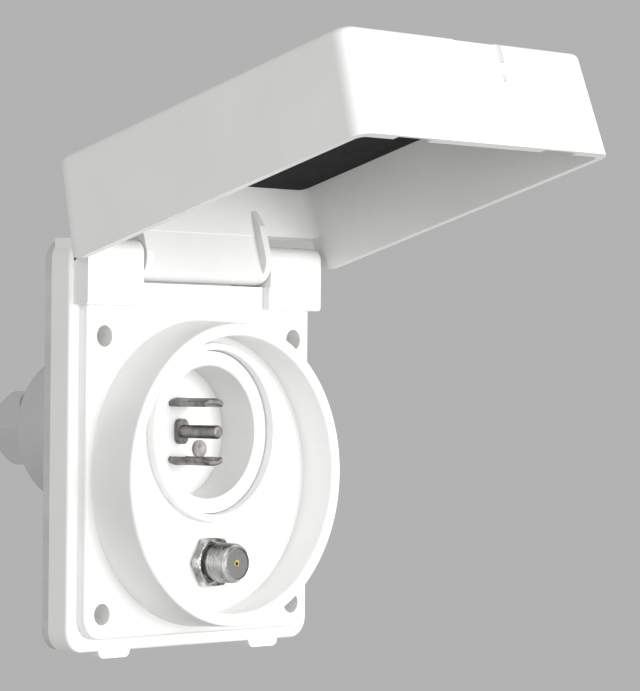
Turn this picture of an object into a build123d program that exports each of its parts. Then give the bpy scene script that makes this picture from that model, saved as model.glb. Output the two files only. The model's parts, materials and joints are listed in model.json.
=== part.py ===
from build123d import *
import math
import os

# Weatherproof power inlet with a coaxial antenna socket, its box lid held open.
# Millimetres. The origin is the centre of the four wall screws, in the plane of the wall.
# X is to the right, Y goes into the wall and Z is up. A "front" below is a distance
# from the wall towards the viewer (minus Y). A negative front lies inside the wall.

# Wall fixing
screw_spacing = 63.5
screw_hole_r = 2.5
gasket_thick = 2.4
gasket_inset = 0.3
cutout_r = 30.5

# Flange
flange_width = 80.4
flange_top = 54.0
flange_bottom = -40.5
flange_corner_r = 5.0
flange_edge_r = 1.0
border_thick = 6.3
panel_inset = 3.0
panel_rise = 2.5
panel_edge_r = 0.8
skin = 3.0
side_wall = 6.0
screw_boss_r = 5.6

# Round collar in front of the flange
collar_base_r = 35.9
collar_rim_r = 35.3
collar_height = 12.8
collar_wall = 3.0
collar_rim_round = 0.9
well_floor_rise = 3.1
well_floor_thick = 3.0
rib_inner_r = 19.3
rib_outer_r = 21.0
rib_height = 2.3

# Inlet insert, the round moulding that holds the power contacts
insert_z = 9.7
insert_r = 18.0
insert_mouth_r = 15.6
insert_lip_r = 19.0
insert_lip_thick = 1.5
insert_gap = 0.25
insert_mouth_chamfer = 0.5
recess_depth = 11.1
insert_base_thick = 9.0
insert_seal_thick = 0.8
ring_nut_r = 20.2
ring_nut_thick = 3.0
ring_nut_notches = 6
ring_nut_notch = 2.0

# Power contacts
contact_x = 0.9
blade_circle_r = 7.2
blade_arc = 46.0
blade_thick = 1.5
blade_length = 11.4
blade_tip = 0.35
ground_r = 1.6
ground_length = 13.0
ground_tip = 0.5
ground_foot_width = 3.2
ground_foot_height = 6.0
ground_foot_thick = 1.6
contact_clearance = 0.05
rivet_x = 7.5
rivet_z = 5.5
rivet_head_r = 2.1
rivet_head_height = 0.7
rivet_shank_r = 1.2
rivet_tail_r = 2.1

# Wire terminals behind the insert
lug_width = 7.0
lug_height = 5.0
lug_length = 8.0
wire_bore_r = 1.6
wire_bore_depth = 6.5
terminal_screw_r = 1.3
terminal_head_r = 2.5
terminal_head_height = 1.6
slot_width = 0.7
slot_depth = 0.7

# Rear cover, its screws and the cable gland
cover_r = 17.8
cover_wall = 2.0
cover_back = -34.0
cover_edge_r = 2.0
post_r = 2.9
post_offset = 13.0
post_angle = 28.0
cover_screw_r = 1.5
cover_screw_bite = 6.0
cover_head_r = 2.7
cover_head_height = 2.0
drive_r = 1.1
drive_depth = 1.1
gland_hex = 18.0
gland_flange_thick = 4.0
gland_thread_r = 7.6
gland_bore_r = 6.2
gland_rear_length = 9.0
gland_locknut_thick = 2.6
gland_spigot_past = 1.0
gland_cap_gap = 1.0
gland_cap_length = 12.5
gland_cap_bore_r = 4.6
gland_cap_lip = 2.4
gland_seal_bore_r = 3.6
gland_seal_length = 7.0
screw_clearance = 0.25
thread_fit = 0.05

# Coaxial socket
coax_z = -20.7
coax_r = 4.7
coax_reach = 9.6
coax_back = -2.0
coax_hex = 11.1
coax_front_nut_thick = 2.5
coax_rear_nut_thick = 2.4
coax_washer_thick = 0.8
coax_washer_r = 6.6
coax_bore_r = 3.6
coax_end_chamfer = 0.4
coax_relief_width = 0.6
coax_relief_r = 4.3
coax_core_recess = 0.6
coax_contact_r = 0.9
coax_contact_bore_r = 0.4
coax_contact_bore_depth = 6.0

# Catch bumps under the flange
catch_offset = 25.0
catch_width = 10.0
catch_height = 1.6
catch_front = 5.2
catch_thick = 3.2

# Lid. It is laid out along its length from the hinge and in depth from its rim.
open_lift = 16.3
lid_length = 92.4
lid_width = 86.2
lid_depth = 24.5
lid_wall = 2.2
lid_end_wall = 2.4
lid_side_draft = 2.0
lid_end_draft = 0.4
lid_corner_r = 4.0
lid_inner_corner_r = 2.0
lid_top_edge_r = 1.6
lid_rim_corner_r = 5.0
hinge_wall_cut = 8.2
seal_thick = 2.0
seal_inset = 0.4
scoop_x = 3.0
scoop_width = 16.0
scoop_depth = 1.8
scoop_height = 5.0
lid_dot_x = 9.5
lid_dot_r = 1.0
lid_dot_down = 8.5
lid_dot_depth = 0.8
catch_groove_gap = 0.6
catch_groove_depth = 3.4

# Hinge
pin_front = 8.4
pin_z = 50.2
pin_r = 1.5
pin_half = 39.0
pin_press = 0.02
pin_running = 0.07
pin_behind_lid = 1.2
pin_above_rim = 2.65
knuckle_half = 21.0
knuckle_side_gap = 0.4
knuckle_r = 5.6
knuckle_gap = 0.4
knuckle_rib = 2.0
knuckle_rib_proud = 2.0
gusset_start = 10.0
gusset_end = 15.0
ear_outer = 39.2
ear_bottom = 38.8
ear_front = 13.3
ear_edge_r = 3.0
ear_side_edge_r = 0.8

# Worked out from the sizes above
border_front = gasket_thick + border_thick
face = border_front + panel_rise
rim_front = face + collar_height
floor_front = face + well_floor_rise
floor_back = floor_front - well_floor_thick
recess_floor = floor_front - recess_depth
insert_back = recess_floor - insert_base_thick
lug_back = insert_back - lug_length
lug_mid = insert_back - lug_length / 2
flange_height = flange_top - flange_bottom
flange_mid_z = (flange_top + flange_bottom) / 2
ceiling = lid_depth - lid_wall
inner_width = lid_width - 2 * lid_wall
inner_length = lid_length - 2 * lid_end_wall
ceiling_width = inner_width - 2 * lid_side_draft * ceiling / lid_depth
ceiling_length = inner_length - 2 * lid_end_draft * ceiling / lid_depth
cover_hole_r = cover_screw_r + screw_clearance
screw_grid = (screw_spacing, screw_spacing)
os.makedirs("parts", exist_ok=True)


def at_front(distance):
    """The plane that faces the viewer at this distance in front of the wall."""
    return Plane.XZ.offset(distance)


def hexagon_r(across_flats):
    """The corner radius of a hexagon of this size across its flats."""
    return across_flats / math.sqrt(3)


def post_spots():
    """The two rear screws, one on each side above the middle of the insert."""
    turn = math.radians(post_angle)
    across = post_offset * math.cos(turn)
    height = insert_z + post_offset * math.sin(turn)
    return [(-across, height), (across, height)]


# The lid's own directions: along it from the hinge, and from its rim to its outer face
lift = math.radians(open_lift)
lid_along = Vector(0, -math.cos(lift), math.sin(lift))
lid_up = Vector(0, math.sin(lift), math.cos(lift))
lid_origin = Vector(0, -pin_front, pin_z) + lid_along * pin_behind_lid - lid_up * pin_above_rim
lid_rim = Plane(origin=lid_origin, x_dir=(1, 0, 0), z_dir=lid_up)
lid_side = Plane(origin=lid_origin, x_dir=lid_along, z_dir=(-1, 0, 0))
lid_end = Plane(origin=lid_origin + lid_along * lid_length, x_dir=(1, 0, 0), z_dir=lid_along)


# Housing: flange, raised panel, collar, well floor, hinge ears and catch bumps in one
with BuildPart() as housing:
    with BuildSketch(at_front(gasket_thick)):
        with Locations((0, flange_mid_z)):
            RectangleRounded(flange_width, flange_height, flange_corner_r)
    extrude(amount=border_thick)
    fillet(housing.faces().sort_by(Axis.Y)[0].edges(), flange_edge_r)
    with BuildSketch(at_front(border_front)):
        with Locations((0, flange_mid_z)):
            RectangleRounded(
                flange_width - 2 * panel_inset, flange_height - 2 * panel_inset, flange_corner_r
            )
    extrude(amount=panel_rise)
    fillet(housing.faces().sort_by(Axis.Y)[0].edges(), panel_edge_r)
    # Hollow back, a skin with a side wall round it and bosses for the screws
    with BuildSketch(at_front(gasket_thick)):
        with Locations((0, (flange_bottom + ear_bottom) / 2)):
            RectangleRounded(
                flange_width - 2 * side_wall,
                ear_bottom - flange_bottom - 2 * side_wall,
                flange_corner_r,
            )
        with GridLocations(*screw_grid, 2, 2):
            Circle(screw_boss_r, mode=Mode.SUBTRACT)
    extrude(amount=face - skin - gasket_thick, mode=Mode.SUBTRACT)
    # Collar and well, turned about the middle of the screw holes
    with BuildSketch(Plane.XY):
        with BuildLine():
            Polyline(
                (0, -face + skin),
                (collar_base_r, -face + skin),
                (collar_base_r, -face),
                (collar_rim_r, -rim_front),
                (collar_rim_r - collar_wall, -rim_front),
                (collar_rim_r - collar_wall, -floor_front),
                (0, -floor_front),
                close=True,
            )
        make_face()
        fillet(vertices().group_by(Axis.Y)[0], collar_rim_round)
    revolve(axis=Axis.Y)
    with BuildSketch(at_front(gasket_thick)):
        Circle(cutout_r)
    extrude(amount=floor_back - gasket_thick, mode=Mode.SUBTRACT)
    # Ring rib on the well floor, round the insert
    with BuildSketch(at_front(floor_front)):
        with Locations((0, insert_z)):
            Circle(rib_outer_r)
            Circle(rib_inner_r, mode=Mode.SUBTRACT)
    extrude(amount=rib_height)
    fillet(
        housing.edges().filter_by(GeomType.CIRCLE).filter_by(
            lambda edge: abs(edge.center().Y + floor_front + rib_height) < 0.01
        ),
        panel_edge_r / 2,
    )
    # Hinge ears
    for side in (-1, 1):
        with BuildPart(mode=Mode.PRIVATE) as ear:
            with BuildSketch(at_front(gasket_thick)):
                with Locations((side * (knuckle_half + ear_outer) / 2, (ear_bottom + flange_top) / 2)):
                    Rectangle(ear_outer - knuckle_half, flange_top - ear_bottom)
            extrude(amount=ear_front - gasket_thick)
            front_edges = ear.faces().sort_by(Axis.Y)[0].edges()
            fillet(front_edges.sort_by(Axis.Z)[-1], ear_edge_r)
            fillet(ear.faces().sort_by(Axis.Y)[0].edges().sort_by(Axis.Z)[0], ear_side_edge_r)
        add(ear.part)
    # Notch where the lid's knuckle turns
    with BuildSketch(at_front(gasket_thick)):
        with Locations((0, pin_z - knuckle_r - knuckle_gap)):
            Rectangle(
                2 * (knuckle_half + knuckle_side_gap),
                flange_height,
                align=(Align.CENTER, Align.MIN),
            )
    extrude(amount=rim_front, mode=Mode.SUBTRACT)
    # Catch bumps under the bottom edge
    with BuildSketch(at_front(catch_front)):
        with Locations((0, flange_bottom)):
            with GridLocations(2 * catch_offset, 0, 2, 1):
                SlotOverall(catch_width, 2 * catch_height)
    extrude(amount=catch_thick)
    # Holes for the wall screws, the insert, the socket and the hinge pin
    with BuildSketch(at_front(gasket_thick)):
        with GridLocations(*screw_grid, 2, 2):
            Circle(screw_hole_r)
    extrude(amount=rim_front, mode=Mode.SUBTRACT)
    with BuildSketch(at_front(floor_back)):
        with Locations((0, insert_z)):
            Circle(insert_r + insert_gap)
        with Locations((0, coax_z)):
            Circle(coax_r + insert_gap)
    extrude(amount=well_floor_thick, mode=Mode.SUBTRACT)
    with BuildSketch(at_front(floor_front - insert_lip_thick)):
        with Locations((0, insert_z)):
            Circle(insert_lip_r + insert_gap)
    extrude(amount=insert_lip_thick, mode=Mode.SUBTRACT)
    with BuildSketch(Plane.YZ):
        with Locations((-pin_front, pin_z)):
            Circle(pin_r + pin_press)
    extrude(amount=ear_outer, both=True, mode=Mode.SUBTRACT)

# Mounting gasket, a soft frame behind the flange
with BuildPart() as gasket:
    with BuildSketch(at_front(0)):
        with Locations((0, flange_mid_z)):
            RectangleRounded(
                flange_width - 2 * gasket_inset, flange_height - 2 * gasket_inset, flange_corner_r
            )
        Circle(cutout_r, mode=Mode.SUBTRACT)
        with GridLocations(*screw_grid, 2, 2):
            Circle(screw_hole_r, mode=Mode.SUBTRACT)
        with Locations((0, pin_z - knuckle_r - knuckle_gap)):
            Rectangle(
                2 * (knuckle_half + knuckle_side_gap),
                flange_height,
                align=(Align.CENTER, Align.MIN),
                mode=Mode.SUBTRACT,
            )
    extrude(amount=gasket_thick)

# Hinge pin
with BuildPart() as hinge_pin:
    with BuildSketch(Plane.YZ):
        with Locations((-pin_front, pin_z)):
            Circle(pin_r)
    extrude(amount=pin_half, both=True)
    chamfer(hinge_pin.edges().filter_by(GeomType.CIRCLE), pin_r / 4)

# Lid: a drafted box, its hinge knuckle and stiffening ribs
with BuildPart() as lid:
    with BuildSketch(lid_rim):
        with Locations((0, -lid_length / 2)):
            RectangleRounded(lid_width, lid_length, lid_corner_r)
    with BuildSketch(lid_rim.offset(lid_depth)):
        with Locations((0, -lid_length / 2)):
            RectangleRounded(
                lid_width - 2 * lid_side_draft, lid_length - 2 * lid_end_draft, lid_corner_r
            )
    loft()
    fillet(lid.faces().sort_by(Axis((0, 0, 0), lid_up))[-1].edges(), lid_top_edge_r)
    with BuildSketch(lid_rim):
        with Locations((0, -lid_length / 2)):
            RectangleRounded(inner_width, inner_length, lid_inner_corner_r)
    with BuildSketch(lid_rim.offset(ceiling)):
        with Locations((0, -lid_length / 2)):
            RectangleRounded(ceiling_width, ceiling_length, lid_inner_corner_r)
    loft(mode=Mode.SUBTRACT)
    # The hinge end is open near the rim, so that it clears the ears
    with BuildSketch(lid_rim):
        Rectangle(inner_width, 2 * (lid_end_wall + lid_inner_corner_r))
    extrude(amount=hinge_wall_cut, mode=Mode.SUBTRACT)
    with BuildSketch(lid_side):
        Rectangle(2 * lid_rim_corner_r, 2 * lid_rim_corner_r)
        with Locations((lid_rim_corner_r, lid_rim_corner_r)):
            Circle(lid_rim_corner_r, mode=Mode.SUBTRACT)
    extrude(amount=lid_width, both=True, mode=Mode.SUBTRACT)
    # Knuckle web, flush with the inside of the hinge wall
    with BuildSketch(lid_side):
        with Locations((-pin_behind_lid, pin_above_rim)):
            Circle(knuckle_r)
        with Locations((0, pin_above_rim)):
            Rectangle(lid_end_wall, gusset_start - pin_above_rim, align=(Align.MIN, Align.MIN))
        with Locations((lid_end_wall, pin_above_rim - knuckle_r)):
            Rectangle(knuckle_r, 2 * knuckle_r, align=(Align.MIN, Align.MIN), mode=Mode.SUBTRACT)
    extrude(amount=knuckle_half, both=True)
    # A rib at each end of the knuckle, running out as a gusset up the hinge wall
    for side in (-1, 1):
        with BuildSketch(lid_side.offset(side * (knuckle_half - knuckle_rib / 2))):
            with Locations((-pin_behind_lid, pin_above_rim)):
                Circle(knuckle_r)
            with BuildLine():
                Polyline(
                    (0, pin_above_rim),
                    (knuckle_r - pin_behind_lid, pin_above_rim),
                    (lid_end_wall + knuckle_rib_proud, gusset_start),
                    (lid_end_wall, gusset_end),
                    (lid_end_wall / 2, gusset_end),
                    (lid_end_wall / 2, gusset_start),
                    (0, gusset_start),
                    close=True,
                )
            make_face()
        extrude(amount=knuckle_rib / 2, both=True)
    with BuildSketch(lid_side):
        with Locations((-pin_behind_lid, pin_above_rim)):
            Circle(pin_r + pin_running)
    extrude(amount=knuckle_half, both=True, mode=Mode.SUBTRACT)
    # Grooves inside the end wall that snap over the catch bumps
    with BuildSketch(lid_rim):
        with Locations((0, -lid_length + lid_end_wall)):
            with GridLocations(2 * catch_offset, 0, 2, 1):
                Rectangle(catch_width + 2 * catch_groove_gap, 2 * catch_height)
    extrude(amount=catch_groove_depth, mode=Mode.SUBTRACT)
    # Finger scoop at the outer edge of the end wall, and a small dimple below it
    with BuildSketch(lid_rim.offset(lid_depth - scoop_height)):
        with Locations((scoop_x, -lid_length + lid_end_draft)):
            RectangleRounded(scoop_width, 2 * scoop_depth, scoop_depth * 3 / 4)
    extrude(amount=scoop_height, mode=Mode.SUBTRACT)
    with BuildSketch(lid_end.offset(-lid_end_draft)):
        with Locations((lid_dot_x, lid_depth - lid_dot_down)):
            Circle(lid_dot_r)
    extrude(amount=lid_dot_depth, both=True, mode=Mode.SUBTRACT)

# Seal pad on the lid's ceiling
with BuildPart() as seal_pad:
    with BuildSketch(lid_rim.offset(ceiling - seal_thick)):
        with Locations((0, -lid_length / 2)):
            RectangleRounded(
                ceiling_width - 2 * seal_inset, ceiling_length - 2 * seal_inset, lid_inner_corner_r
            )
    extrude(amount=seal_thick)

# Inlet insert: mouth, recess and contact base turned in one, then pierced
with BuildPart() as insert:
    with BuildSketch(Plane.XY.offset(insert_z)):
        with BuildLine():
            Polyline(
                (0, -recess_floor),
                (insert_mouth_r, -recess_floor),
                (insert_mouth_r, -floor_front + insert_mouth_chamfer),
                (insert_mouth_r + insert_mouth_chamfer, -floor_front),
                (insert_lip_r, -floor_front),
                (insert_lip_r, -floor_front + insert_lip_thick),
                (insert_r, -floor_front + insert_lip_thick),
                (insert_r, -insert_back),
                (0, -insert_back),
                close=True,
            )
        make_face()
    revolve(axis=Axis((0, 0, insert_z), (0, 1, 0)))
    with BuildSketch(at_front(insert_back)):
        for turn in (90, -90):
            with BuildLine(mode=Mode.PRIVATE) as blade_line:
                CenterArc((contact_x, insert_z), blade_circle_r, turn - blade_arc / 2, blade_arc)
            SlotArc(blade_line.edge(), blade_thick + 2 * contact_clearance)
        with Locations((contact_x, insert_z)):
            Circle(ground_r + contact_clearance)
        with Locations((rivet_x, rivet_z)):
            Circle(rivet_shank_r + contact_clearance)
    extrude(amount=insert_base_thick, mode=Mode.SUBTRACT)
    with BuildSketch(at_front(insert_back)):
        with Locations(*post_spots()):
            Circle(cover_screw_r + thread_fit)
    extrude(amount=cover_screw_bite, mode=Mode.SUBTRACT)

# Seal and ring nut that clamp the insert from behind the well floor
with BuildPart() as insert_seal:
    with BuildSketch(at_front(floor_back - insert_seal_thick)):
        with Locations((0, insert_z)):
            Circle(ring_nut_r)
            Circle(insert_r + insert_gap, mode=Mode.SUBTRACT)
    extrude(amount=insert_seal_thick)

with BuildPart() as ring_nut:
    with BuildSketch(at_front(floor_back - insert_seal_thick - ring_nut_thick)):
        with Locations((0, insert_z)):
            Circle(ring_nut_r)
            Circle(insert_r + thread_fit, mode=Mode.SUBTRACT)
            with PolarLocations(ring_nut_r, ring_nut_notches):
                Rectangle(ring_nut_notch, ring_nut_notch, mode=Mode.SUBTRACT)
    extrude(amount=ring_nut_thick)


def terminal_plane(reach_x, reach_z):
    """The outer face of a wire lug. The reaches give its way out from the insert's middle."""
    reach = Vector(reach_x, 0, reach_z)
    centre = Vector(contact_x, -lug_mid, insert_z) + reach * (lug_height / 2)
    if reach_z:
        centre = centre + reach * blade_circle_r
    return Plane(origin=centre, x_dir=(0, -1, 0), z_dir=reach)


def wire_lug(plane):
    """A block behind the insert with a bore for the wire and a hole for its screw."""
    middle = plane.origin - plane.z_dir * (lug_height / 2)
    with BuildPart() as lug:
        with BuildSketch(plane):
            Rectangle(lug_length, lug_width)
        extrude(amount=-lug_height)
        with BuildSketch(plane):
            Circle(terminal_screw_r + thread_fit)
        extrude(amount=-lug_height / 2, mode=Mode.SUBTRACT)
        with BuildSketch(at_front(lug_back)):
            with Locations((middle.X, middle.Z)):
                Circle(wire_bore_r)
        extrude(amount=wire_bore_depth, mode=Mode.SUBTRACT)
    return lug.part


def blade_contact(turn, plane):
    """A curved blade with its wire lug. The turn is its place on the blade circle."""
    with BuildPart() as contact:
        with BuildSketch(at_front(insert_back)):
            with BuildLine(mode=Mode.PRIVATE) as blade_line:
                CenterArc((contact_x, insert_z), blade_circle_r, turn - blade_arc / 2, blade_arc)
            SlotArc(blade_line.edge(), blade_thick)
        extrude(amount=insert_base_thick + blade_length)
        chamfer(contact.faces().sort_by(Axis.Y)[0].edges(), blade_tip)
        add(wire_lug(plane))
    return contact


terminal_planes = [terminal_plane(0, 1), terminal_plane(0, -1), terminal_plane(-1, 0)]
line_contact = blade_contact(90, terminal_planes[0])
neutral_contact = blade_contact(-90, terminal_planes[1])

# Earth contact: a round pin with an upright foot on the recess floor
with BuildPart() as ground_contact:
    with BuildSketch(at_front(insert_back)):
        with Locations((contact_x, insert_z)):
            Circle(ground_r)
    extrude(amount=insert_base_thick + ground_length)
    fillet(ground_contact.faces().sort_by(Axis.Y)[0].edges(), ground_tip)
    with BuildSketch(at_front(recess_floor)):
        with Locations((contact_x, insert_z)):
            SlotOverall(ground_foot_height, ground_foot_width, rotation=90)
    extrude(amount=ground_foot_thick)
    add(wire_lug(terminal_planes[2]))

# Rivet that closes the insert
with BuildPart() as rivet:
    with BuildSketch(at_front(insert_back - rivet_head_height)):
        with Locations((rivet_x, rivet_z)):
            Circle(rivet_tail_r)
    extrude(amount=rivet_head_height)
    with BuildSketch(at_front(insert_back)):
        with Locations((rivet_x, rivet_z)):
            Circle(rivet_shank_r)
    extrude(amount=insert_base_thick)
    with BuildSketch(at_front(recess_floor)):
        with Locations((rivet_x, rivet_z)):
            Circle(rivet_head_r)
    extrude(amount=rivet_head_height)

# Terminal screws with slotted heads
with BuildPart() as terminal_screws:
    for plane in terminal_planes:
        with BuildSketch(plane):
            Circle(terminal_head_r)
        extrude(amount=terminal_head_height)
        with BuildSketch(plane):
            Circle(terminal_screw_r)
        extrude(amount=-lug_height / 2)
        with BuildSketch(plane.offset(terminal_head_height - slot_depth)):
            Rectangle(slot_width, 2 * terminal_head_r)
        extrude(amount=slot_depth, mode=Mode.SUBTRACT)

# Rear cover: a cup over the terminals with two screw posts
with BuildPart() as cover:
    with BuildSketch(at_front(cover_back)):
        with Locations((0, insert_z)):
            Circle(cover_r)
    extrude(amount=insert_back - cover_back)
    fillet(cover.faces().sort_by(Axis.Y)[-1].edges(), cover_edge_r)
    with BuildSketch(at_front(cover_back + cover_wall)):
        with Locations((0, insert_z)):
            Circle(cover_r - cover_wall)
        with Locations(*post_spots()):
            Circle(post_r, mode=Mode.SUBTRACT)
    extrude(amount=insert_back - cover_back - cover_wall, mode=Mode.SUBTRACT)
    with BuildSketch(at_front(cover_back)):
        with Locations(*post_spots()):
            Circle(cover_hole_r)
        with Locations((0, insert_z)):
            Circle(gland_thread_r + screw_clearance)
    extrude(amount=insert_back - cover_back, mode=Mode.SUBTRACT)

# Two screws from the back of the cover into the insert
with BuildPart() as cover_screws:
    with BuildSketch(at_front(cover_back - cover_head_height)):
        with Locations(*post_spots()):
            Circle(cover_head_r)
    extrude(amount=cover_head_height)
    with BuildSketch(at_front(cover_back)):
        with Locations(*post_spots()):
            Circle(cover_screw_r)
    extrude(amount=insert_back + cover_screw_bite - cover_back)
    with BuildSketch(at_front(cover_back - cover_head_height)):
        with Locations(*post_spots()):
            RegularPolygon(drive_r, 6)
    extrude(amount=drive_depth, mode=Mode.SUBTRACT)

# Cable gland: body, locknut inside the cover, rubber sleeve and cap
locknut_front = cover_back + cover_wall + gland_locknut_thick
gland_flange_back = cover_back - gland_flange_thick
gland_back = gland_flange_back - gland_rear_length
cap_front = gland_flange_back - gland_cap_gap
cap_back = cap_front - gland_cap_length

with BuildPart() as gland_body:
    with BuildSketch(at_front(gland_back)):
        with Locations((0, insert_z)):
            Circle(gland_thread_r)
    extrude(amount=locknut_front + gland_spigot_past - gland_back)
    with BuildSketch(at_front(gland_flange_back)):
        with Locations((0, insert_z)):
            RegularPolygon(hexagon_r(gland_hex), 6)
    extrude(amount=gland_flange_thick)
    with BuildSketch(at_front(gland_back)):
        with Locations((0, insert_z)):
            Circle(gland_bore_r)
    extrude(amount=locknut_front + gland_spigot_past - gland_back, mode=Mode.SUBTRACT)

with BuildPart() as gland_locknut:
    with BuildSketch(at_front(cover_back + cover_wall)):
        with Locations((0, insert_z)):
            RegularPolygon(hexagon_r(gland_hex), 6)
            Circle(gland_thread_r + thread_fit, mode=Mode.SUBTRACT)
    extrude(amount=gland_locknut_thick)

with BuildPart() as gland_cap:
    with BuildSketch(at_front(cap_back)):
        with Locations((0, insert_z)):
            RegularPolygon(hexagon_r(gland_hex), 6)
            Circle(gland_cap_bore_r, mode=Mode.SUBTRACT)
    extrude(amount=gland_cap_length)
    with BuildSketch(at_front(cap_back + gland_cap_lip)):
        with Locations((0, insert_z)):
            Circle(gland_thread_r + thread_fit)
    extrude(amount=gland_cap_length - gland_cap_lip, mode=Mode.SUBTRACT)

with BuildPart() as gland_seal:
    with BuildSketch(at_front(cap_back + gland_cap_lip)):
        with Locations((0, insert_z)):
            Circle(gland_bore_r - insert_gap)
            Circle(gland_seal_bore_r, mode=Mode.SUBTRACT)
    extrude(amount=gland_seal_length)

# Coaxial socket: barrel, two nuts, washer, insulator and centre contact
coax_front = floor_front + coax_reach
coax_length = coax_front - coax_back
washer_back = floor_back - coax_washer_thick
rear_nut_back = washer_back - coax_rear_nut_thick

with BuildPart() as coax_barrel:
    with BuildSketch(at_front(coax_back)):
        with Locations((0, coax_z)):
            Circle(coax_r)
    extrude(amount=coax_length)
    chamfer(coax_barrel.edges().filter_by(GeomType.CIRCLE), coax_end_chamfer)
    with BuildSketch(at_front(coax_back)):
        with Locations((0, coax_z)):
            Circle(coax_bore_r)
    extrude(amount=coax_length, mode=Mode.SUBTRACT)
    # Thread relief between the front nut and the free end that a cable plug screws on
    with BuildSketch(at_front(floor_front + coax_front_nut_thick)):
        with Locations((0, coax_z)):
            Circle(coax_r + thread_fit)
            Circle(coax_relief_r, mode=Mode.SUBTRACT)
    extrude(amount=coax_relief_width, mode=Mode.SUBTRACT)


def coax_nut(back, thick):
    """A hexagon nut with its flats at the top and the bottom."""
    with BuildPart() as nut:
        with BuildSketch(at_front(back)):
            with Locations((0, coax_z)):
                RegularPolygon(hexagon_r(coax_hex), 6)
                Circle(coax_r + thread_fit, mode=Mode.SUBTRACT)
        extrude(amount=thick)
    return nut


coax_front_nut = coax_nut(floor_front, coax_front_nut_thick)
coax_rear_nut = coax_nut(rear_nut_back, coax_rear_nut_thick)

with BuildPart() as coax_washer:
    with BuildSketch(at_front(washer_back)):
        with Locations((0, coax_z)):
            Circle(coax_washer_r)
            Circle(coax_r + thread_fit, mode=Mode.SUBTRACT)
    extrude(amount=coax_washer_thick)

with BuildPart() as coax_insulator:
    with BuildSketch(at_front(coax_back + coax_core_recess)):
        with Locations((0, coax_z)):
            Circle(coax_bore_r - thread_fit)
            Circle(coax_contact_r + thread_fit, mode=Mode.SUBTRACT)
    extrude(amount=coax_length - 2 * coax_core_recess)

with BuildPart() as coax_contact:
    with BuildSketch(at_front(coax_back + coax_core_recess)):
        with Locations((0, coax_z)):
            Circle(coax_contact_r)
    extrude(amount=coax_length - 2 * coax_core_recess)
    with BuildSketch(at_front(coax_front - coax_core_recess - coax_contact_bore_depth)):
        with Locations((0, coax_z)):
            Circle(coax_contact_bore_r)
    extrude(amount=coax_contact_bore_depth, mode=Mode.SUBTRACT)

# Export
housing.part.label = "flange_housing"
gasket.part.label = "mounting_gasket"
hinge_pin.part.label = "hinge_pin"
lid.part.label = "lid"
seal_pad.part.label = "lid_seal_pad"
insert.part.label = "inlet_insert"
insert_seal.part.label = "insert_seal"
ring_nut.part.label = "insert_ring_nut"
line_contact.part.label = "line_contact"
neutral_contact.part.label = "neutral_contact"
ground_contact.part.label = "ground_contact"
rivet.part.label = "contact_rivet"
terminal_screws.part.label = "terminal_screws"
cover.part.label = "terminal_cover"
cover_screws.part.label = "cover_screws"
gland_body.part.label = "gland_body"
gland_locknut.part.label = "gland_locknut"
gland_cap.part.label = "gland_cap"
gland_seal.part.label = "gland_seal"
coax_barrel.part.label = "coax_barrel"
coax_front_nut.part.label = "coax_front_nut"
coax_rear_nut.part.label = "coax_rear_nut"
coax_washer.part.label = "coax_washer"
coax_insulator.part.label = "coax_insulator"
coax_contact.part.label = "coax_contact"

pieces = [
    housing,
    gasket,
    hinge_pin,
    lid,
    seal_pad,
    insert,
    insert_seal,
    ring_nut,
    line_contact,
    neutral_contact,
    ground_contact,
    rivet,
    terminal_screws,
    cover,
    cover_screws,
    gland_body,
    gland_locknut,
    gland_cap,
    gland_seal,
    coax_barrel,
    coax_front_nut,
    coax_rear_nut,
    coax_washer,
    coax_insulator,
    coax_contact,
]
for piece in pieces:
    export_step(piece.part, f"parts/{piece.part.label}.step")
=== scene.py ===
# %% [markdown]
# A weatherproof power inlet, with its box lid held open
#
# The CAD model is already true in shape and size. This file gives it its finishes, adds the
# detail that is too fine for a solid model, and lights it as in a plain studio photograph.
# All lengths below are in millimetres until MM turns them into metres.

import json
import math

import bmesh
import bpy
from mathutils import Matrix, Vector


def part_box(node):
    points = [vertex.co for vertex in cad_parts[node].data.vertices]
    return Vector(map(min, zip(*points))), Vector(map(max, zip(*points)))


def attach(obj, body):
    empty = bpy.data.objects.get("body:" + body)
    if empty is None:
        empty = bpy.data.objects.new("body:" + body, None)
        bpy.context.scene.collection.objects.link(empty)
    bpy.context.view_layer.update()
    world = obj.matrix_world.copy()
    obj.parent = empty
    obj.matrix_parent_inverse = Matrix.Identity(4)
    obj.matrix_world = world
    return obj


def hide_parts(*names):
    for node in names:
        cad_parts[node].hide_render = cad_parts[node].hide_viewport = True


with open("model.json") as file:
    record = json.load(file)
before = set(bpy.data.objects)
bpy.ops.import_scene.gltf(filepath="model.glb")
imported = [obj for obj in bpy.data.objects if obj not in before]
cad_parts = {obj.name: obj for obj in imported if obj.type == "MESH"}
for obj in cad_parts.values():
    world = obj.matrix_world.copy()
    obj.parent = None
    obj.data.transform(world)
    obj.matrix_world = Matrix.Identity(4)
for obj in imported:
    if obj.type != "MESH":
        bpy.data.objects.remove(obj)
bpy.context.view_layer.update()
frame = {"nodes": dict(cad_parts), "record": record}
nodes = frame["nodes"]
MM = 0.001

# %% [markdown]
# ## A small kit for node materials
#
# Real surfaces are never one flat colour. Each finish here starts from a few noise textures in
# object coordinates, so the pattern sits in the material at its true size and moves with the
# piece. An image texture could do this too, but it would need unwrapping and has one scale only.


# %% Material helpers
def new_material(name):
    """A material with its shader, and its node and link lists."""
    material = bpy.data.materials.new(name)
    material.use_nodes = True
    tree = material.node_tree
    return material, tree.nodes["Principled BSDF"], tree.nodes, tree.links


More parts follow.
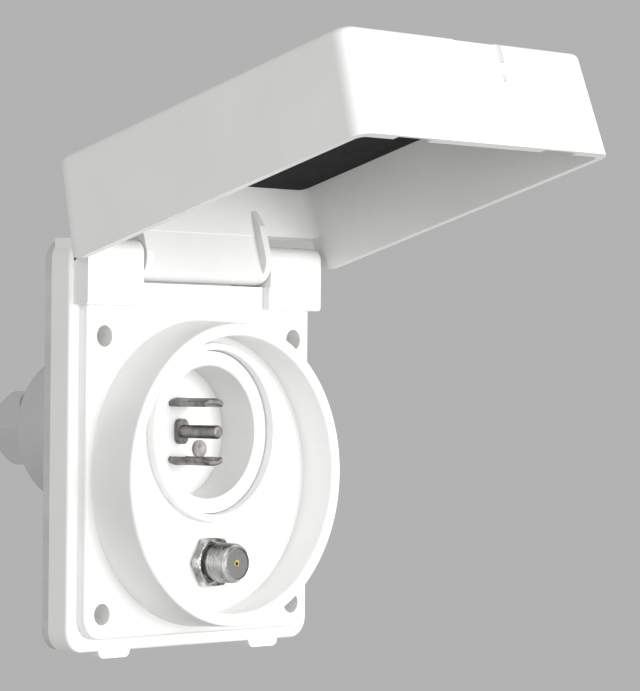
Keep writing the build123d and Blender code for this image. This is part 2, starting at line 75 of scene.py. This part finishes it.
def noise(tree_nodes, links, coords, size_mm, detail=3.0, stretch=None):
    """A noise texture whose lumps are about this size. A stretch draws it out into streaks."""
    texture = tree_nodes.new("ShaderNodeTexNoise")
    texture.inputs["Scale"].default_value = 1 / (size_mm * MM)
    texture.inputs["Detail"].default_value = detail
    source = coords
    if stretch:
        mapping = tree_nodes.new("ShaderNodeMapping")
        mapping.inputs["Scale"].default_value = stretch
        links.new(coords, mapping.inputs["Vector"])
        source = mapping.outputs["Vector"]
    links.new(source, texture.inputs["Vector"])
    return texture.outputs["Fac"]


def ramp(tree_nodes, links, value, low, high, colours):
    """Turns a noise value into one of two colours, blended between low and high."""
    node = tree_nodes.new("ShaderNodeValToRGB")
    node.color_ramp.elements[0].position = low
    node.color_ramp.elements[1].position = high
    for element, colour in zip(node.color_ramp.elements, colours):
        element.color = (*colour, 1)
    links.new(value, node.inputs["Fac"])
    return node.outputs["Color"]


def spread(tree_nodes, links, value, low, high):
    """Spreads a noise value over a range, such as of roughness."""
    node = tree_nodes.new("ShaderNodeMapRange")
    node.inputs["From Min"].default_value = 0.35
    node.inputs["From Max"].default_value = 0.65
    node.inputs["To Min"].default_value = low
    node.inputs["To Max"].default_value = high
    links.new(value, node.inputs["Value"])
    return node.outputs["Result"]


def bump(tree_nodes, links, heights, shader):
    """Adds surface relief. Each height is a noise value with its depth in millimetres."""
    normal = None
    for value, depth_mm in heights:
        node = tree_nodes.new("ShaderNodeBump")
        node.inputs["Distance"].default_value = depth_mm * MM
        links.new(value, node.inputs["Height"])
        if normal:
            links.new(normal, node.inputs["Normal"])
        normal = node.outputs["Normal"]
    links.new(normal, shader.inputs["Normal"])


# %% [markdown]
# ## Moulded plastic
#
# The flange, lid and insert are injection moulded in one white plastic, and the parts behind
# the wall in a light grey one, which is a guess, because they can't be seen. Such a part shows a
# satin skin, a fine texture from the tool, and slow changes of gloss where the melt cooled
# unevenly. Three noises at three sizes give those, which one noise can't.


# %% Plastics
def plastic(name, light, dark, rough, grain_mm=0.35, relief_mm=0.012):
    """Moulded plastic between two near colours, with this middle roughness."""
    material, shader, tree_nodes, links = new_material(name)
    coords = tree_nodes.new("ShaderNodeTexCoord").outputs["Object"]
    cloud = noise(tree_nodes, links, coords, 18, 4)
    grain = noise(tree_nodes, links, coords, grain_mm, 2)
    flow = noise(tree_nodes, links, coords, 6, 3, (1, 1, 0.35))
    links.new(ramp(tree_nodes, links, cloud, 0.3, 0.7, (dark, light)), shader.inputs["Base Color"])
    links.new(spread(tree_nodes, links, flow, rough - 0.06, rough + 0.06), shader.inputs["Roughness"])
    bump(tree_nodes, links, ((flow, relief_mm * 2), (grain, relief_mm)), shader)
    return material


WHITE, WHITE_DARK = (0.90, 0.90, 0.89), (0.86, 0.86, 0.85)
GREY, GREY_DARK = (0.60, 0.60, 0.60), (0.55, 0.55, 0.55)
finish = {
    "housing_plastic": plastic("housing_plastic", WHITE, WHITE_DARK, 0.38),
    "lid_plastic": plastic("lid_plastic", WHITE, WHITE_DARK, 0.36),
    "insert_plastic": plastic("insert_plastic", (0.88, 0.88, 0.87), (0.83, 0.83, 0.82), 0.42),
    "ring_nut_plastic": plastic("ring_nut_plastic", (0.78, 0.78, 0.76), (0.72, 0.72, 0.70), 0.5),
    "cover_plastic": plastic("cover_plastic", GREY, GREY_DARK, 0.5, 0.5, 0.03),
    "gland_plastic": plastic("gland_plastic", GREY, GREY_DARK, 0.46, 0.6, 0.02),
    "coax_plastic": plastic("coax_plastic", (0.17, 0.17, 0.165), (0.10, 0.10, 0.097), 0.5),
}
print("plastics:", len(finish))

# %% [markdown]
# ## Foam and rubber
#
# The wall gasket is a closed-cell foam and the lid's seal is a black foam sheet. Both are full
# of small cells, so a Voronoi pattern stands in for them: it makes cells with thin walls
# between, where a noise would only make soft lumps.


# %% Foams and rubbers
def foam(name, light, dark, cell_mm, depth_mm, rough=0.85):
    """Cellular foam or rubber. A smaller cell and depth make it look denser."""
    material, shader, tree_nodes, links = new_material(name)
    coords = tree_nodes.new("ShaderNodeTexCoord").outputs["Object"]
    cells = tree_nodes.new("ShaderNodeTexVoronoi")
    cells.inputs["Scale"].default_value = 1 / (cell_mm * MM)
    links.new(coords, cells.inputs["Vector"])
    dust = noise(tree_nodes, links, coords, 9, 5)
    links.new(ramp(tree_nodes, links, dust, 0.3, 0.7, (dark, light)), shader.inputs["Base Color"])
    links.new(spread(tree_nodes, links, dust, rough - 0.08, rough + 0.08), shader.inputs["Roughness"])
    bump(tree_nodes, links, ((cells.outputs["Distance"], depth_mm), (dust, depth_mm)), shader)
    shader.inputs["Specular IOR Level"].default_value = 0.3
    return material


finish["gasket_foam"] = foam("gasket_foam", (0.66, 0.66, 0.65), (0.58, 0.58, 0.57), 0.7, 0.12)
finish["seal_rubber"] = foam("seal_rubber", (0.014, 0.014, 0.014), (0.007, 0.007, 0.007), 0.5, 0.08)
finish["insert_rubber"] = foam("insert_rubber", (0.03, 0.03, 0.03), (0.02, 0.02, 0.02), 0.4, 0.02, 0.6)
finish["gland_rubber"] = foam("gland_rubber", (0.025, 0.025, 0.025), (0.015, 0.015, 0.015), 0.5, 0.03, 0.65)
print("with foams:", len(finish))

# %% [markdown]
# ## Metals
#
# The contacts and the coaxial socket are nickel-plated brass, turned on a lathe and dulled by
# handling. Lathe work leaves fine rings round the axis, so the streak noise is drawn out
# across it. Darker patches of tarnish are rougher than the bright metal round them.


# %% Metals
def metal(name, bright, dull, rough, streak=(1, 12, 1), streak_mm=1.6):
    """Plated or brushed metal, with streaks and patches of tarnish."""
    material, shader, tree_nodes, links = new_material(name)
    coords = tree_nodes.new("ShaderNodeTexCoord").outputs["Object"]
    tarnish = noise(tree_nodes, links, coords, 2.5, 5)
    rings = noise(tree_nodes, links, coords, streak_mm, 2, streak)
    links.new(ramp(tree_nodes, links, tarnish, 0.35, 0.62, (dull, bright)), shader.inputs["Base Color"])
    links.new(spread(tree_nodes, links, rings, rough - 0.08, rough + 0.14), shader.inputs["Roughness"])
    bump(tree_nodes, links, ((rings, 0.01), (tarnish, 0.004)), shader)
    shader.inputs["Metallic"].default_value = 1.0
    return material


finish["contact_metal"] = metal("contact_metal", (0.27, 0.265, 0.255), (0.11, 0.108, 0.104), 0.42)
finish["rivet_metal"] = metal("rivet_metal", (0.40, 0.39, 0.375), (0.17, 0.165, 0.16), 0.4)
finish["coax_metal"] = metal("coax_metal", (0.72, 0.72, 0.71), (0.40, 0.40, 0.39), 0.3)
finish["coax_spring"] = metal("coax_spring", (0.60, 0.48, 0.22), (0.36, 0.28, 0.12), 0.35)
finish["hinge_steel"] = metal("hinge_steel", (0.60, 0.60, 0.61), (0.42, 0.42, 0.43), 0.3, (12, 1, 1))
finish["screw_steel"] = metal("screw_steel", (0.56, 0.56, 0.57), (0.36, 0.36, 0.37), 0.32, (8, 8, 8))
finish["washer_steel"] = metal("washer_steel", (0.52, 0.52, 0.53), (0.34, 0.34, 0.35), 0.38)
print("all finishes:", len(finish))

# %% [markdown]
# ## Dress the CAD nodes
#
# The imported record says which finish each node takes, so the list isn't written out again.

# %% Give each node its finish
slot_of = {}
for row in frame["record"]["subparts"]:
    slot_of[row["node"]] = row["material_slot"]
for name, thing in nodes.items():
    if not thing.material_slots:
        thing.data.materials.append(finish[slot_of[name]])
    for place in thing.material_slots:
        place.material = finish[slot_of[name]]
print("dressed:", len(slot_of))

# %% [markdown]
# ## Turned pieces
#
# Nuts, barrels and caps are all shapes turned about an axis that runs into the wall. One helper
# walks a profile round that axis. A shape function may push each ring in or out by angle, so the
# same helper also makes a hexagon whose corners a cone has chamfered, as on a real nut. A cut
# with a modifier would do it too, but leaves long thin faces.

# %% The turning helper
HOUSING = "housing"


def turned(name, profile, height, slot, steps=96, shape=None):
    """A closed profile of (front, radius) in mm, turned about the axis at this height."""
    mesh = bmesh.new()
    rings = []
    for front, radius in profile:
        ring = []
        for step in range(steps):
            angle = 2 * math.pi * step / steps
            r = shape(front, radius, angle) if shape else radius
            spot = (r * math.cos(angle) * MM, -front * MM, (height + r * math.sin(angle)) * MM)
            ring.append(mesh.verts.new(spot))
        rings.append(ring)
    for index, ring in enumerate(rings):
        following = rings[(index + 1) % len(rings)]
        for step in range(steps):
            after = (step + 1) % steps
            mesh.faces.new((ring[step], ring[after], following[after], following[step]))
    bmesh.ops.recalc_face_normals(mesh, faces=mesh.faces)
    data = bpy.data.meshes.new(name)
    mesh.to_mesh(data)
    mesh.free()
    data.shade_smooth()
    data.set_sharp_from_angle(angle=math.radians(28))
    data.materials.append(finish[slot])
    thing = bpy.data.objects.new(name, data)
    bpy.context.collection.objects.link(thing)
    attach(thing, HOUSING)
    print(name, "faces:", len(data.polygons))
    return thing


def span(node):
    """The front distances in mm of a node's back and front, and its height in the row."""
    low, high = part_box(node)
    return -high[1] / MM, -low[1] / MM, (low[2] + high[2]) / 2 / MM


# %% [markdown]
# ## The coaxial socket
#
# The barrel is smooth in the CAD model, with a plain relief in front of the nut. Here it becomes
# a shell cut down to the root of its thread, with a rolled front edge. The insulator stays from
# the CAD model inside it.

# %% Socket shell
coax_back, coax_front, coax_z = span("coax_barrel")
COAX_R, COAX_BORE, ROOT = 4.7, 3.6, 4.36
EDGE = 0.35
shell_profile = [
    (coax_back, COAX_BORE + EDGE),
    (coax_back, ROOT - EDGE),
    (coax_back + EDGE, ROOT),
    (coax_front - 3 * EDGE, ROOT),
    (coax_front - EDGE, ROOT - EDGE / 2),
    (coax_front - EDGE / 4, ROOT - EDGE),
    (coax_front, COAX_BORE + EDGE * 1.4),
    (coax_front - EDGE / 4, COAX_BORE + EDGE / 4),
    (coax_front - EDGE, COAX_BORE),
    (coax_back + EDGE, COAX_BORE),
]
shell = turned("coax_shell", shell_profile, coax_z, "coax_metal")
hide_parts("coax_barrel")

# %% [markdown]
# ## Its thread
#
# A thread is one ridge that climbs round the barrel, 32 turns to the inch. Geometry Nodes suit
# it well: a spiral curve is swept by a small diamond profile, and its pitch, length and height
# are inputs. Modelling each turn as a ring would be quicker, but rings don't climb.


# %% A node tree for threads
def thread_tree():
    """Sweeps a diamond along a spiral. Its inputs are lengths in metres and a material."""
    tree = bpy.data.node_groups.new("thread_ridge", "GeometryNodeTree")
    tree.interface.new_socket("Geometry", in_out="INPUT", socket_type="NodeSocketGeometry")
    for name in ("Radius", "Pitch", "Length", "Ridge"):
        tree.interface.new_socket(name, in_out="INPUT", socket_type="NodeSocketFloat")
    tree.interface.new_socket("Material", in_out="INPUT", socket_type="NodeSocketMaterial")
    tree.interface.new_socket("Geometry", in_out="OUTPUT", socket_type="NodeSocketGeometry")
    start = tree.nodes.new("NodeGroupInput")
    end = tree.nodes.new("NodeGroupOutput")
    turns = tree.nodes.new("ShaderNodeMath")
    turns.operation = "DIVIDE"
    spiral = tree.nodes.new("GeometryNodeCurveSpiral")
    spiral.inputs["Resolution"].default_value = 64
    upright = tree.nodes.new("GeometryNodeSetCurveNormal")
    upright.mode = "Z_UP"
    diamond = tree.nodes.new("GeometryNodeCurvePrimitiveCircle")
    diamond.inputs["Resolution"].default_value = 4
    sweep = tree.nodes.new("GeometryNodeCurveToMesh")
    sweep.inputs["Fill Caps"].default_value = True
    real = tree.nodes.new("GeometryNodeRealizeInstances")
    coat = tree.nodes.new("GeometryNodeSetMaterial")
    link = tree.links.new
    link(start.outputs["Length"], turns.inputs[0])
    link(start.outputs["Pitch"], turns.inputs[1])
    link(turns.outputs["Value"], spiral.inputs["Rotations"])
    link(start.outputs["Radius"], spiral.inputs["Start Radius"])
    link(start.outputs["Radius"], spiral.inputs["End Radius"])
    link(start.outputs["Length"], spiral.inputs["Height"])
    link(start.outputs["Ridge"], diamond.inputs["Radius"])
    link(spiral.outputs["Curve"], upright.inputs["Curve"])
    link(upright.outputs["Curve"], sweep.inputs["Curve"])
    link(diamond.outputs["Curve"], sweep.inputs["Profile Curve"])
    link(sweep.outputs["Mesh"], real.inputs["Geometry"])
    link(real.outputs["Geometry"], coat.inputs["Geometry"])
    link(start.outputs["Material"], coat.inputs["Material"])
    link(coat.outputs["Geometry"], end.inputs["Geometry"])
    return tree


THREAD = thread_tree()


def thread(name, front, height, length, radius, pitch, ridge, slot):
    """A ridge that climbs back from this front distance, in mm, as a plain mesh."""
    holder = bpy.data.objects.new(name + "_maker", bpy.data.meshes.new(name + "_maker"))
    bpy.context.collection.objects.link(holder)
    modifier = holder.modifiers.new("thread", "NODES")
    modifier.node_group = THREAD
    wanted = {
        "Radius": radius * MM,
        "Pitch": pitch * MM,
        "Length": length * MM,
        "Ridge": ridge * MM,
        "Material": finish[slot],
    }
    for item in THREAD.interface.items_tree:
        if item.item_type == "SOCKET" and item.in_out == "INPUT" and item.name in wanted:
            modifier[item.identifier] = wanted[item.name]
    ready = holder.evaluated_get(bpy.context.evaluated_depsgraph_get())
    data = bpy.data.meshes.new_from_object(ready)
    bpy.data.objects.remove(holder)
    into_wall = Matrix.Rotation(math.radians(-90), 4, "X")
    data.transform(Matrix.Translation((0, -front * MM, height * MM)) @ into_wall)
    data.name = name
    data.set_sharp_from_angle(angle=math.radians(40))
    thing = bpy.data.objects.new(name, data)
    bpy.context.collection.objects.link(thing)
    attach(thing, HOUSING)
    low = min(v.co.y for v in data.vertices) / MM
    high = max(v.co.y for v in data.vertices) / MM
    print(name, "faces:", len(data.polygons), "from", round(-high, 2), "to", round(-low, 2))
    return thing


# %% [markdown]
# The front thread stops short of the nut, where the barrel has a plain relief. A cable plug's
# nut runs up to that relief and no further.

# %% Thread in front of the nut and behind the floor
PITCH = 25.4 / 32
RIDGE = COAX_R - ROOT
_, nut_front, _ = span("coax_front_nut")
rear_nut_back, _, _ = span("coax_rear_nut")
RELIEF = 0.6
front_length = coax_front - nut_front - RELIEF - 4 * EDGE
rear_length = rear_nut_back - coax_back - 4 * EDGE
front_start = coax_front - 3.5 * EDGE
rear_start = rear_nut_back - EDGE
thread("coax_thread_front", front_start, coax_z, front_length, ROOT, PITCH, RIDGE, "coax_metal")
thread("coax_thread_rear", rear_start, coax_z, rear_length, ROOT, PITCH, RIDGE, "coax_metal")

# %% [markdown]
# ## Chamfered nuts
#
# A nut is a hexagon whose corners are cut by a cone at each face, which leaves the curved
# edges that catch the light. The shape function takes the smaller of the two at each angle.


# %% Hexagon nuts
HEX_STEPS = 144
CONE_SLOPE = 1.9


def hexagon(across, back, front, chamfer):
    """Limits a ring to a hexagon, and near each face to a cone. Sizes are in mm."""

    def shape(at, radius, angle):
        if radius < across / 2 - chamfer * 2:
            return radius
        wedge = angle % (math.pi / 3) - math.pi / 6
        edge = min(at - back, front - at)
        cone = across / 2 - chamfer * 0.2 + edge * CONE_SLOPE
        return min(across / 2 / math.cos(wedge), cone)

    return shape


def nut(name, node, across, bore, chamfer, slot):
    """A chamfered nut that stands for a plain CAD one."""
    back, front, height = span(node)
    rise = [0.0, 0.2, 0.4, 0.7, 1.0]
    outer = across / 2
    edge = 0.25
    profile = [(back, bore + edge)]
    profile += [(back + chamfer * part, outer) for part in rise]
    profile += [(front - chamfer * part, outer) for part in reversed(rise)]
    profile += [(front, bore + edge), (front - edge, bore), (back + edge, bore)]
    sides = hexagon(across, back, front, chamfer)
    piece = turned(name, profile, height, slot, HEX_STEPS, sides)
    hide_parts(node)
    return piece


NUT_ACROSS, NUT_CHAMFER, NUT_BORE = 11.1, 0.5, COAX_R + 0.02
nut("front_nut", "coax_front_nut", NUT_ACROSS, NUT_BORE, NUT_CHAMFER, "coax_metal")
nut("rear_nut", "coax_rear_nut", NUT_ACROSS, NUT_BORE, NUT_CHAMFER, "coax_metal")

# %% [markdown]
# ## The cable gland's cap
#
# The cap that squeezes the rubber round the cable has a hexagon to grip and a domed back. The
# CAD model has the hexagon alone. The dome is the same turned hexagon with a rounder profile.

# %% Domed gland cap
cap_back, cap_front, cap_z = span("gland_cap")
GLAND, CAP_BORE, CAP_THREAD = 18.0, 4.6, 7.65
LIP, CAP_EDGE = 2.4, 0.4
DOME_START, DOME_REACH, DOME_PROUD = 4.2, 7.5, 0.9
CAP_RISES = (0.0, 0.25, 0.6, 1.1, 1.8, 2.6, 3.4, 4.2, 6.0)
CAP_DROPS = (1.0, 0.6, 0.3, 0.0)


def cap_shape(at, radius, angle):
    """A hexagon at the front that runs into a round dome at the back."""
    if radius < GLAND / 2 - 0.01:
        return radius
    wedge = angle % (math.pi / 3) - math.pi / 6
    limits = [GLAND / 2 / math.cos(wedge), GLAND / 2 - 0.1 + (cap_front - at) * CONE_SLOPE]
    behind = cap_back + DOME_START - at
    if behind > 0:
        dome = GLAND / 2 * math.sqrt(max(0.0, 1 - (behind / DOME_REACH) ** 2))
        limits.append(dome + DOME_PROUD)
    return min(limits)


cap_profile = [(cap_back, CAP_BORE + CAP_EDGE)]
cap_profile += [(cap_back + rise, GLAND / 2) for rise in CAP_RISES]
cap_profile += [(cap_front - drop, GLAND / 2) for drop in CAP_DROPS]
cap_profile += [(cap_front, CAP_THREAD), (cap_back + LIP, CAP_THREAD), (cap_back + LIP, CAP_BORE)]
cap_profile += [(cap_back + CAP_EDGE, CAP_BORE)]
cap = turned("gland_dome", cap_profile, cap_z, "gland_plastic", HEX_STEPS, cap_shape)
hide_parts("gland_cap")

# %% [markdown]
# ## Studio
#
# The photograph has an even grey ground with no horizon. A sweep that curves up from the floor
# gives that, where a floor and a wall would show a line between them. Its shader is mostly
# its own light, so it stays even from edge to edge.

# %% Sweep
GROUND = (0.44, 0.44, 0.44)
PAPER, PAPER_LIGHT = (0.012, 0.012, 0.012), (0.016, 0.016, 0.016)
HALF_WIDTH, BEND_STEPS = 3.5, 16
sweep_data = bmesh.new()
floor_z, wall_y, bend = -0.45, 1.6, 0.6
side_profile = [(-3.0, floor_z), (wall_y - bend, floor_z)]
for step in range(1, BEND_STEPS + 1):
    angle = math.pi / 2 * step / BEND_STEPS
    along = wall_y - bend + bend * math.sin(angle)
    side_profile.append((along, floor_z + bend - bend * math.cos(angle)))
side_profile.append((wall_y, 3.0))
rows = []
for y, z in side_profile:
    rows.append([sweep_data.verts.new((x, y, z)) for x in (-HALF_WIDTH, HALF_WIDTH)])
for near, far in zip(rows, rows[1:]):
    sweep_data.faces.new((near[0], near[1], far[1], far[0]))
sweep_mesh = bpy.data.meshes.new("studio_sweep")
sweep_data.to_mesh(sweep_mesh)
sweep_data.free()
sweep_mesh.shade_smooth()
ground, shader, ground_nodes, ground_links = new_material("studio_paper")
paper_coords = ground_nodes.new("ShaderNodeTexCoord").outputs["Object"]
paper = noise(ground_nodes, ground_links, paper_coords, 400, 2)
tint = ramp(ground_nodes, ground_links, paper, 0.2, 0.8, (PAPER, PAPER_LIGHT))
ground_links.new(tint, shader.inputs["Base Color"])
shader.inputs["Roughness"].default_value = 0.95
shader.inputs["Specular IOR Level"].default_value = 0.0
shader.inputs["Emission Color"].default_value = (*GROUND, 1)
shader.inputs["Emission Strength"].default_value = 1.0
sweep_mesh.materials.append(ground)
sweep = bpy.data.objects.new("studio_sweep", sweep_mesh)
bpy.context.collection.objects.link(sweep)

# %% [markdown]
# ## Light
#
# Faces that look forward are blown out to white in the photograph, and faces that look left
# are a light grey. A wide soft light in front and a little to the right does that. The world
# fills the rest evenly, and a weak light from the left keeps the side faces from going dull.


# %% Lights
def soft_light(name, place, target, size, watts):
    """A square area light at a place in metres, turned towards a target."""
    data = bpy.data.lights.new(name, "AREA")
    data.shape = "SQUARE"
    data.size = size
    data.energy = watts
    lamp = bpy.data.objects.new(name, data)
    lamp.location = place
    lamp.rotation_euler = (Vector(target) - Vector(place)).to_track_quat("-Z", "Y").to_euler()
    bpy.context.collection.objects.link(lamp)
    return lamp


middle = (0.0, -0.03, 0.02)
soft_light("front_light", (0.30, -1.5, 0.15), middle, 1.2, 29)
soft_light("left_light", (-1.3, -0.5, 0.2), middle, 1.0, 4.5)
WORLD_LIGHT = 0.48
world = bpy.data.worlds.new("studio_world")
world.use_nodes = True
sky = world.node_tree.nodes["Background"]
sky.inputs["Color"].default_value = (1, 1, 1, 1)
sky.inputs["Strength"].default_value = WORLD_LIGHT
bpy.context.scene.world = world
bpy.context.scene.view_settings.view_transform = "Standard"

# %% [markdown]
# ## Camera
#
# The camera stands in front and to the left, almost level with the inlet, with a long lens.
# Its place was worked out from the screw holes, the collar and the lid's corners in the
# photograph, so the picture can be laid over it.

# %% Camera
TURN, TILT, ROLL = math.radians(47.88), math.radians(0.53), math.radians(0.53)
FOCAL_PX, DISTANCE = 3368.6, 822.4
HEIGHT_PX, SENSOR = 691, 36.0
AIM = Vector((41.49, -11.2, 30.54))
ahead = Vector((math.sin(TURN) * math.cos(TILT), math.cos(TURN) * math.cos(TILT), math.sin(TILT)))
right = Vector((math.cos(TURN), -math.sin(TURN), 0))
up = right.cross(ahead)
level_right, level_up = right, up
right = level_right * math.cos(ROLL) + level_up * math.sin(ROLL)
up = level_up * math.cos(ROLL) - level_right * math.sin(ROLL)
eye = (AIM - ahead * DISTANCE) * MM
camera_data = bpy.data.cameras.new("camera")
camera_data.sensor_width = SENSOR
camera_data.lens = FOCAL_PX / HEIGHT_PX * SENSOR
camera_data.clip_start = 0.05
camera_data.clip_end = 20
camera = bpy.data.objects.new("camera", camera_data)
turn = Matrix((right, up, -ahead)).transposed().to_4x4()
camera.matrix_world = Matrix.Translation(eye) @ turn
bpy.context.collection.objects.link(camera)
bpy.context.scene.camera = camera
print("camera at", [round(value, 3) for value in eye], "lens", round(camera_data.lens, 1))
